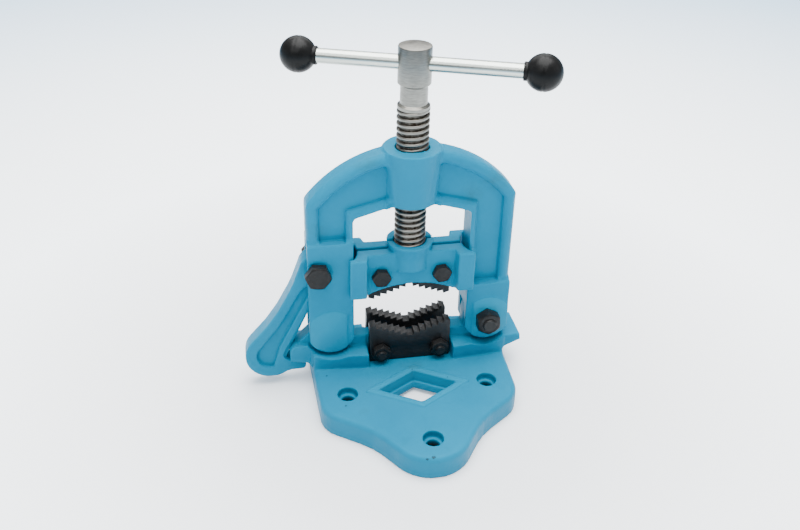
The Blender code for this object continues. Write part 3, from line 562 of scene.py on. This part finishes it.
def dress(thing, look, slot, body, *nodes):
    thing.data.materials.clear()
    thing.data.materials.append(look)
    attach(thing, body)
    if nodes:
        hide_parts(*nodes)
    return thing


# Shares that the materials read from the vertices

def places_of(thing):
    places = np.empty(len(thing.data.vertices) * 3)
    thing.data.vertices.foreach_get("co", places)
    return places.reshape(-1, 3)


def store(thing, name, shares):
    made = thing.data.attributes.new(name, "FLOAT", "POINT")
    made.data.foreach_set("value", np.clip(shares, 0, 1))


def store_shares(thing):
    """Keeps how far each vertex stands out or lies in, for wear and painted highlight on edges and painted
    shade in corners.
    """
    mesh = thing.data
    count = len(mesh.vertices)
    places = places_of(thing)
    normals = np.empty(count * 3)
    mesh.vertices.foreach_get("normal", normals)
    normals = normals.reshape(-1, 3)
    ends = np.empty(len(mesh.edges) * 2, int)
    mesh.edges.foreach_get("vertices", ends)
    a, b = ends.reshape(-1, 2).T
    run = places[b] - places[a]
    length = np.maximum(np.linalg.norm(run, axis=1), 1e-9)
    bend = np.zeros(count)
    degree = np.zeros(count)
    np.add.at(bend, a, -(run * normals[a]).sum(1) / length)
    np.add.at(bend, b, (run * normals[b]).sum(1) / length)
    np.add.at(degree, a, 1)
    np.add.at(degree, b, 1)
    bend /= np.maximum(degree, 1)
    for _ in range(WEAR_AND_SHADING_PASSES):
        total = bend.copy()
        np.add.at(total, a, bend[b])
        np.add.at(total, b, bend[a])
        bend = total / (degree + 1)
    store(thing, "edge", bend / WEAR_AND_SHADING_FULL)
    store(thing, "hollow", -bend / WEAR_AND_SHADING_FULL)


def store_groove(thing):
    """Keeps how deep in the thread each vertex lies."""
    places = places_of(thing)
    radius = np.hypot(places[:, 0], places[:, 1])
    store(thing, "groove", (CREST_R - radius) / (CREST_R - ROOT_R))


# Castings

def cast(thing, sculpt=None):
    """Turns hard solids into a casting: even skin, soft edges and filled corners."""
    skin = thing.modifiers.new("skin", "REMESH")
    skin.mode = "VOXEL"
    skin.voxel_size = VOXEL
    frozen(thing)
    if sculpt:
        places = places_of(thing)
        sculpt(places)
        thing.data.vertices.foreach_set("co", places.ravel())
    soft = thing.modifiers.new("soft", "SMOOTH")
    soft.factor = 0.5
    soft.iterations = CAST_SMOOTH
    frozen(thing)
    thin = thing.modifiers.new("thin", "DECIMATE")
    thin.ratio = CAST_KEEP
    frozen(thing)
    thing.data.shade_smooth()
    store_shares(thing)
    return thing


def roll_rim(places):
    """Rounds the yoke's outer rim, slopes its flanks and the window frame's, and frees the screw boss."""
    x, y, z = places.T
    straight = LEG_X + LEG_HALF - np.abs(x)
    round_part = ARCH_R - np.hypot(x - ARCH_CENTRE[0], z - ARCH_CENTRE[1])
    in_arch = z > ARCH_CENTRE[1] + ARCH_RISE
    depth = np.maximum(np.where(in_arch, np.minimum(straight, round_part), straight), 0)
    fall = np.maximum(RIM_ROUND - depth, 0)
    limit = RIM_HALF - RIM_ROUND + np.sqrt(np.maximum(RIM_ROUND**2 - fall**2, 0))
    flank = (depth - FLANK_FROM * RIM_WIDE) / ((1 - FLANK_FROM) * RIM_WIDE)
    limit -= FLANK_DROP * np.clip(flank, 0, 1) ** 2
    shaped = (z > np.where(x < 0, *SHAPED_FROM)) & (np.abs(x) > SHAPED_OUT)
    on_rim = shaped & (depth < RIM_WIDE + SLACK)
    places[:, 1] = np.where(on_rim, np.clip(y, -limit, limit), y)
    (side_x, side_z), (top_x, top_z) = FRAME_SIDE, FRAME_TOP
    rise = (top_z - side_z) / (side_x - top_x)
    under = (side_z + rise * (side_x - np.abs(x)) - z) / sqrt(1 + rise**2)
    inside = np.minimum(side_x - np.abs(x), under)
    limit = RIM_HALF - FLANK_DROP * np.clip(1 - inside / FLANK_WIDE, 0, 1)
    on_rail = shaped & (inside > -SLACK)
    places[:, 1] = np.where(on_rail, np.clip(y, -limit, limit), y)
    share = np.clip((z - BOSS_LOW) / (BOSS_TOP - BOSS_LOW), 0, 1)
    radius = BOSS_R[0] + (BOSS_R[1] - BOSS_R[0]) * share
    web = np.where((depth < RIM_WIDE) | (inside > 0), RIM_HALF, PANEL_HALF)
    limit = np.maximum(web, np.sqrt(np.maximum(radius**2 - x**2, 0)) + BOSS_SLACK)
    beside = (np.abs(x) < BOSS_SIDE) & (z > BOSS_LOW) & (z < BOSS_TOP)
    places[:, 1] = np.where(beside, np.clip(y, -limit, limit), y)


def rhombus(grow, z):
    """The diamond's outline, grown or shrunk, with slightly round corners."""
    wide, deep = DIAMOND_HALF
    share = 1 + grow * hypot(1 / wide, 1 / deep)
    corners = [Vector((wide, 0)), Vector((0, deep)), Vector((-wide, 0)), Vector((0, -deep))]
    corners = [corner * share for corner in corners]
    points = []
    for i, here in enumerate(corners):
        back = (corners[i - 1] - here).normalized()
        ahead = (corners[(i + 1) % 4] - here).normalized()
        half = back.angle(ahead) / 2
        radius = DIAMOND_R[i % 2]
        centre = here + (back + ahead).normalized() * radius / sin(half)
        first = here + back * radius / tan(half) - centre
        for k in range(CORNER_STEPS):
            x, y = centre + Matrix.Rotation((pi - 2 * half) * k / (CORNER_STEPS - 1), 2) @ first
            points.append((x, y + DIAMOND_Y, z))
    return points


def make_diamond(paint):
    """The crisp rim, wall and ledge of the diamond opening."""
    ring = swept("diamond_ring", [rhombus(grow, z) for grow, z in DIAMOND_PROFILE], looped=True)
    smooth_shading(ring, 50)
    store_shares(ring)
    # chosen rows of the rim get painted highlight lines and painted shade lines
    for name, rows in (("edge", DIAMOND_HIGHLIGHT_ROWS), ("hollow", DIAMOND_SHADE_ROWS)):
        for i, point in enumerate(ring.data.attributes[name].data):
            row = i // (4 * CORNER_STEPS) % len(DIAMOND_PROFILE)
            point.value = rows.get(row, 0.0)
    dress(ring, paint, "casting_paint", "base")


def lower_tongues(base):
    """Cuts the tongues beside the lower jaws down to their height in the photograph."""
    (near_x, near_y, low), (far_x, far_y, high) = TONGUE_NOTCH
    boolean(base, block("notch", (near_x, near_y, low), (far_x, far_y, high)), "DIFFERENCE")
    boolean(base, block("notch", (-far_x, near_y, low), (-near_x, far_y, high)), "DIFFERENCE")


def foot_pad(side, shrink):
    """The outline of the round pad on a leg's foot, in XZ."""
    points = []
    for k in range(PAD_POINTS):
        a = 2 * pi * k / PAD_POINTS
        radius = (PAD_R if sin(a) > 0 else FOOT_R) - shrink
        room = (PAD_OUT if side * cos(a) > 0 else PAD_IN) - shrink
        if abs(cos(a)) * radius > room:
            radius = room / abs(cos(a))
        points.append((side * LEG_X + radius * cos(a), FOOT_Z + radius * sin(a)))
    return points


def make_pads(paint):
    """The crisp edges of the pads on the feet."""
    for name, side in (("pad_left", -1), ("pad_right", 1)):
        rings = []
        for shrink, deep in PAD_STEPS:
            rings.append([(x, FOOT_FRONT + deep, z) for x, z in foot_pad(side, shrink)])
        pad = smooth_shading(swept(name, rings), 60)
        store_shares(pad)
        dress(pad, paint, "casting_paint", "yoke")


def make_lip(paint):
    """The thin inner lip of the latch, beside the lug."""
    rings = []
    for (line_x, line_z), share in zip(LIP_LINE, LIP_SHARES):
        x, z = LATCH_PIN[0] + line_x, LATCH_PIN[1] + line_z
        inner, outer = x - LIP_IN, x + share * LIP_WIDE + LIP_OUT
        corner_x, corner_y = outer - LIP_SOFT, LIP_HALF - LIP_SOFT
        rings.append([(inner, -LIP_HALF, z), (corner_x, -LIP_HALF, z), (outer, -corner_y, z),
                      (outer, corner_y, z), (corner_x, LIP_HALF, z), (inner, LIP_HALF, z)])
    lip = smooth_shading(swept("latch_lip", rings), 50)
    store_shares(lip)
    dress(lip, paint, "casting_paint", "latch")


def make_castings(paint):
    for node, body, sculpt in (("base", "base", None), ("yoke", "yoke", roll_rim), ("latch", "latch", None),
                               ("carrier_front", "carrier", None), ("carrier_rear", "carrier", None)):
        thing = node_copy(node, node + "_casting")
        if node == "base":
            lower_tongues(thing)
        dress(cast(thing, sculpt), paint, "casting_paint", body, node)
    make_diamond(paint)
    make_pads(paint)
    make_lip(paint)


# Jaws

def make_jaws(steel):
    for node, body in (("upper_jaw", "carrier"), ("lower_jaw_front", "base"), ("lower_jaw_rear", "base")):
        thing = soften_edges(node_copy(node, node + "_teeth"), *JAW_EDGE)
        smooth_shading(thing, 30)
        store_shares(thing)
        dress(thing, steel, "jaw_steel", body, node)


# Screw, bar and balls

def bar_matrix():
    """Takes a piece made along Z to lie along the bar."""
    place = Matrix.Translation((0, 0, BAR_Z))
    return place @ Matrix.Rotation(BAR_TURN, 4, "Z") @ Matrix.Rotation(pi / 2, 4, "Y")


def screw_head():
    """The plain land over the thread, the neck, and the head with its cross hole."""
    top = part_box("screw")[1].z
    profile = [
        (LAND_IN_R, LAND_LOW), (ROOT_R, LAND_LOW),
        (LAND_R, THREAD_TOP - 0.0034), (LAND_R, THREAD_TOP - 0.0010),
        (NECK_R, THREAD_TOP + 0.0006), (NECK_R, HEAD_LOW - 0.0007), (NECK_R + 0.0007, HEAD_LOW),
        (HEAD_R - HEAD_SOFT, HEAD_LOW), (HEAD_R, HEAD_LOW + HEAD_SOFT), (HEAD_R, top - HEAD_SOFT),
        (HEAD_R - HEAD_SOFT * 0.3, top - HEAD_SOFT * 0.3), (HEAD_R - HEAD_SOFT, top), (AXIS_R, top),
    ]
    head = turned("screw_head", profile)
    hole = cylinder("hole", BAR_HOLE_R, -0.03, 0.03, 48)
    hole.matrix_world = bar_matrix()
    bpy.context.view_layer.update()
    boolean(head, hole, "DIFFERENCE")
    return smooth_shading(head, 35)


def make_screw(steel):
    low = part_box("screw")[0].z
    rod = threaded("screw_thread", CREST_R, ROOT_R, PITCH, THREAD_LOW, THREAD_TOP)
    store_groove(rod)
    smooth_shading(rod, 60)
    dress(rod, steel, "turned_steel", "screw", "screw")
    dress(screw_head(), steel, "turned_steel", "screw")
    neck_top = THREAD_LOW + 0.001
    end = turned("screw_end", [(AXIS_R, low), (COLLAR_R, low), (COLLAR_R, low + COLLAR_TALL),
                               (END_R, low + COLLAR_TALL), (END_R, neck_top), (AXIS_R, neck_top)])
    dress(smooth_shading(end), steel, "turned_steel", "screw")


def ball_profile():
    """Bottom to top: the collar's mouth, the ball with its moulding seam, and the far pole."""
    start = -pi / 2 + acos(sqrt(1 - (STEM_R / BALL_R) ** 2))
    points = [(BAR_R + 0.0002, MOUTH_Z + 0.0012), (BAR_R + 0.0005, MOUTH_Z),
              (STEM_R - 0.0007, MOUTH_Z), (STEM_R, MOUTH_Z + 0.0007)]
    for k in range(BALL_STEPS + 1):
        angle = start + (pi / 2 - POLE_GAP - start) * k / BALL_STEPS
        radius, z = BALL_R * cos(angle), BALL_R * sin(angle)
        points.append((radius - SEAM_DEEP * max(0.0, 1 - abs(z) / SEAM_HALF), z))
    return points


def make_bar(plating, plastic):
    bar = cylinder("bar_rod", BAR_R, -LEFT_BALL + IN_BALL, RIGHT_BALL - IN_BALL)
    bar.data.transform(bar_matrix())
    dress(smooth_shading(bar), plating, "zinc_bar", "bar", "tommy_bar")
    for node, centre, side in (("knob_left", LEFT_BALL, -1), ("knob_right", RIGHT_BALL, 1)):
        ball = turned(node + "_ball", ball_profile(), 72)
        flip = Matrix.Identity(4) if side > 0 else Matrix.Rotation(pi, 4, "X")
        ball.data.transform(bar_matrix() @ Matrix.Translation((0, 0, side * centre)) @ flip)
        dress(smooth_shading(ball, 50), plastic, "black_plastic", "bar", node)


# Fasteners

def hexagon(name, flats, low, high, spin):
    """A hex prism along Z whose upper end has the turned chamfer of a real head."""
    prism = cylinder(name, flats / sqrt(3), low, high, 6)
    prism.data.transform(Matrix.Rotation(spin, 4, "Z"))
    corner = flats / sqrt(3) + HEX_OVER
    face = flats * HEX_FACE
    drop = (corner - face) * HEX_SLOPE
    chamfer = turned("chamfer", [(corner, low - OVERLAP), (corner, high - drop), (face, high)])
    return soften_edges(boolean(prism, chamfer, "INTERSECT"), *HEX_EDGE)


def along_y(thing, at, out):
    """Stands a piece made along +Z on its end, pointing towards out = -1 or +1 on Y."""
    turn = Matrix.Rotation(-out * pi / 2, 4, "X")
    thing.data.transform(Matrix.Translation((at[0], 0, at[1])) @ turn)
    return thing


def finish_steel(thing, steel, body, *nodes):
    smooth_shading(thing, 30)
    store_shares(thing)
    return dress(thing, steel, "blackened_steel", body, *nodes)


def make_fastener(steel, bolt, nut, body, sizes, head_out, turns):
    """A bolt with a chamfered head on one side and a nut with a thread end on the other."""
    flats, head, tall, shank, pitch = sizes
    low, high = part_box(bolt)
    nut_low, nut_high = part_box(nut)
    at = ((nut_low.x + nut_high.x) / 2, (nut_low.z + nut_high.z) / 2)
    if head_out > 0:
        top, tip, nut_top = high.y, -low.y, -nut_low.y
    else:
        top, tip, nut_top = -low.y, high.y, nut_high.y
    seat = top - head
    cap = hexagon(bolt + "_cap", flats, seat + HEX_GAP, top, LEVEL + turns[0])
    boolean(cap, cylinder("shank", shank, SHANK_BACK, seat + OVERLAP, 48), "UNION")
    finish_steel(along_y(cap, at, head_out), steel, body, bolt)
    ring = hexagon(nut + "_hex", flats, nut_top - tall + HEX_GAP, nut_top, LEVEL + turns[1])
    boolean(ring, cylinder("bore", shank + BORE_GAP, 0.0, nut_top + 0.01, 48), "DIFFERENCE")
    finish_steel(along_y(ring, at, -head_out), steel, body, nut)
    tip = min(tip, nut_top + THREAD_PROUD)
    end = threaded(bolt + "_thread", shank, shank * THREAD_ROOT, pitch, 0.0, tip, 40, 0.8, 9)
    finish_steel(along_y(end, at, -head_out), steel, body)


# Stage

def make_camera():
    b, p, r = CAMERA_YAW, CAMERA_PITCH, CAMERA_ROLL
    ahead = Vector((sin(b) * cos(p), cos(b) * cos(p), -sin(p)))
    level = Vector((cos(b), -sin(b), 0))
    upright = level.cross(ahead)
    right = cos(r) * level + sin(r) * upright
    top = -sin(r) * level + cos(r) * upright
    lens = bpy.data.cameras.new("camera")
    lens.sensor_width = SENSOR
    lens.lens = FOCAL_PIXELS * SENSOR / PHOTO[0]
    lens.shift_x = (PHOTO[0] / 2 - CENTRE_PIXEL[0]) / PHOTO[0]
    lens.shift_y = (CENTRE_PIXEL[1] - PHOTO[1] / 2) / PHOTO[0]
    lens.clip_start = 0.01
    camera = new_object("camera", lens)
    columns = Matrix((right, top, -ahead)).transposed().to_4x4()
    camera.matrix_world = Matrix.Translation(CAMERA_AT) @ columns
    bpy.context.scene.camera = camera


def make_light(name, at, size, power, colour):
    lamp = bpy.data.lights.new(name, "AREA")
    lamp.shape = "RECTANGLE"
    lamp.size, lamp.size_y = size
    lamp.energy = power
    lamp.color = colour
    light = new_object(name, lamp)
    light.location = at
    light.rotation_euler = (Vector(LIGHT_AIM) - Vector(at)).to_track_quat("-Z", "Y").to_euler()


def make_floor():
    """A pale floor that glows away from the vise, so that the background is bright."""
    floor = cylinder("floor", FLOOR_R, -0.02, 0.0, 96)
    look = Look("floor", 0.9)
    look.shader.inputs["Base Color"].default_value = FLOOR_TONE
    far = look.tree.nodes.new("ShaderNodeVectorMath")
    far.operation = "LENGTH"
    look.link(look.place, far.inputs[0])
    away = far.outputs["Value"]
    near_tone, mid_tone, far_tone = GLOW_TONES
    glow = look.mix(look.span(away, *GLOW_NEAR, 0, 1), near_tone, mid_tone)
    glow = look.mix(look.span(away, *GLOW_FAR, 0, 1), glow, far_tone)
    # painted shade: the floor has no glow under the mounting holes
    no_glow_under_holes = look.largest([look.near((x, y, 0.0), *UNDER_HOLE_SHADE) for x, y in HOLES])
    look.link(look.mix(no_glow_under_holes, glow, (0.0, 0.0, 0.0)), look.shader.inputs["Emission Color"])
    look.shader.inputs["Emission Strength"].default_value = GLOW_STRENGTH
    floor.data.materials.append(look.material)


def make_world():
    world = bpy.context.scene.world or bpy.data.worlds.new("world")
    bpy.context.scene.world = world
    world.use_nodes = True
    background = world.node_tree.nodes["Background"]
    background.inputs["Color"].default_value = WORLD_TONE
    background.inputs["Strength"].default_value = WORLD_STRENGTH


make_camera()
make_floor()
make_world()
for lamp_row in LIGHTS:
    make_light(*lamp_row)
make_castings(casting_paint())
make_jaws(blackened("jaw_steel", JAW_STEEL, JAW_WEAR))
bolt_steel = blackened("blackened_steel", BOLT_STEEL, BOLT_WEAR)
for fastener_row in FASTENERS:
    make_fastener(bolt_steel, *fastener_row)
make_screw(turned_steel())
make_bar(zinc(), moulded_black())
